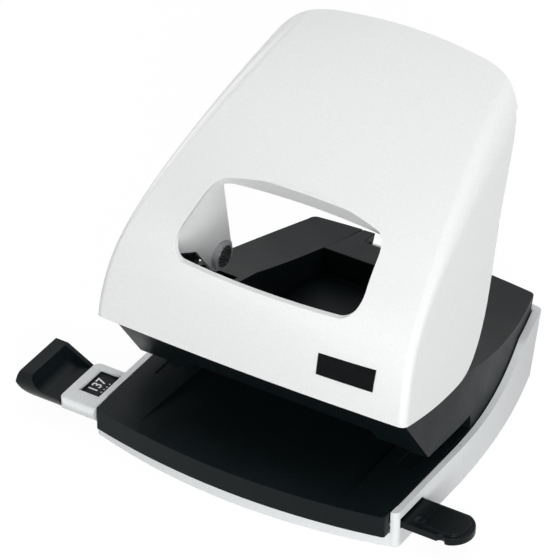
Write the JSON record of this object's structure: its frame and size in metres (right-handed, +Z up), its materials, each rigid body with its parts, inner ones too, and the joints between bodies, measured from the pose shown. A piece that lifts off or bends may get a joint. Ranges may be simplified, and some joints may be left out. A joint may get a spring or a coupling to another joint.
{
  "type": "hole punch",
  "caption": "Office hole punch: broad lever with a hand window over a table, with a sliding paper guide and a chip tray that swings down.",
  "frame": {"origin": "on the desk, in the plane of symmetry, about halfway along the base", "axes": "+Z up, -Y towards the user and the paper, +X to the user's right"},
  "size_m": [0.1445, 0.1102, 0.1043],
  "materials": {
    "white_base": "fine-textured white moulding",
    "white_lever": "smooth white stove enamel on sheet steel",
    "black_moulding": "finely spark-eroded black moulding",
    "black_guide": "satin black moulding",
    "black_plate": "smooth bare plate",
    "zinc_steel": "bright zinc plated sheet",
    "bright_steel": "drawn bright steel",
    "hard_steel": "ground and hardened",
    "dark_spring_steel": "oiled spring steel",
    "light_bush": "plain light grey moulding"
  },
  "bodies": {
    "base": {"base_front": "white_base", "paper_table": "black_moulding", "side_housing_left": "black_moulding", "side_housing_right": "black_moulding", "head_bridge": "black_moulding", "rear_deck": "black_moulding", "base_plate": "zinc_steel", "punch_frame_left": "zinc_steel", "punch_frame_right": "zinc_steel", "lever_axle": "bright_steel", "axle_clips": "dark_spring_steel", "frame_rivets": "bright_steel", "plate_screws": "zinc_steel", "housing_screws": "zinc_steel", "tray_hinge_pins": "bright_steel", "die_bush_left": "hard_steel", "die_bush_right": "hard_steel", "punch_guide_left": "hard_steel", "punch_guide_right": "hard_steel", "return_spring_left": "dark_spring_steel", "return_spring_right": "dark_spring_steel", "guide_detent": "dark_spring_steel"},
    "lever": {"lever_cover": "white_lever", "lever_bracket": "zinc_steel", "blank_plate": "black_plate", "press_pin_left": "bright_steel", "press_pin_right": "bright_steel", "press_bush_left": "light_bush", "press_bush_right": "light_bush"},
    "punch_left": {"punch_pin_left": "hard_steel"},
    "punch_right": {"punch_pin_right": "hard_steel"},
    "guide": {"guide_bar": "black_guide", "guide_stop": "black_guide"},
    "tray": {"chip_tray": "white_base"}
  },
  "joints": [
    {"name": "lever_hinge", "type": "hinge", "parent": "base", "child": "lever", "pos_m": [0, -0.033, 0.044], "axis": [-1, 0, 0], "range_deg": [0, 22.5], "stiffness_Nm_per_rad": 2, "springref_deg": -6.88},
    {"name": "punch_left_slide", "type": "slide", "parent": "base", "child": "punch_left", "axis": [0, 0, -1], "range_m": [0, 0.0088], "deforming": ["return_spring_left"]},
    {"name": "punch_right_slide", "type": "slide", "parent": "base", "child": "punch_right", "axis": [0, 0, -1], "range_m": [0, 0.0088], "deforming": ["return_spring_right"]},
    {"name": "guide_slide", "type": "slide", "parent": "base", "child": "guide", "axis": [-1, 0, 0], "range_m": [0, 0.0965]},
    {"name": "tray_hinge", "type": "hinge", "parent": "base", "child": "tray", "pos_m": [0, -0.021, 0.0024], "axis": [-1, 0, 0], "range_deg": [0, 50]}
  ],
  "couplings": [
    {"joint": "punch_left_slide", "follows": "lever_hinge", "m_per_rad": 0.02218},
    {"joint": "punch_right_slide", "follows": "lever_hinge", "m_per_rad": 0.02218}
  ]
}
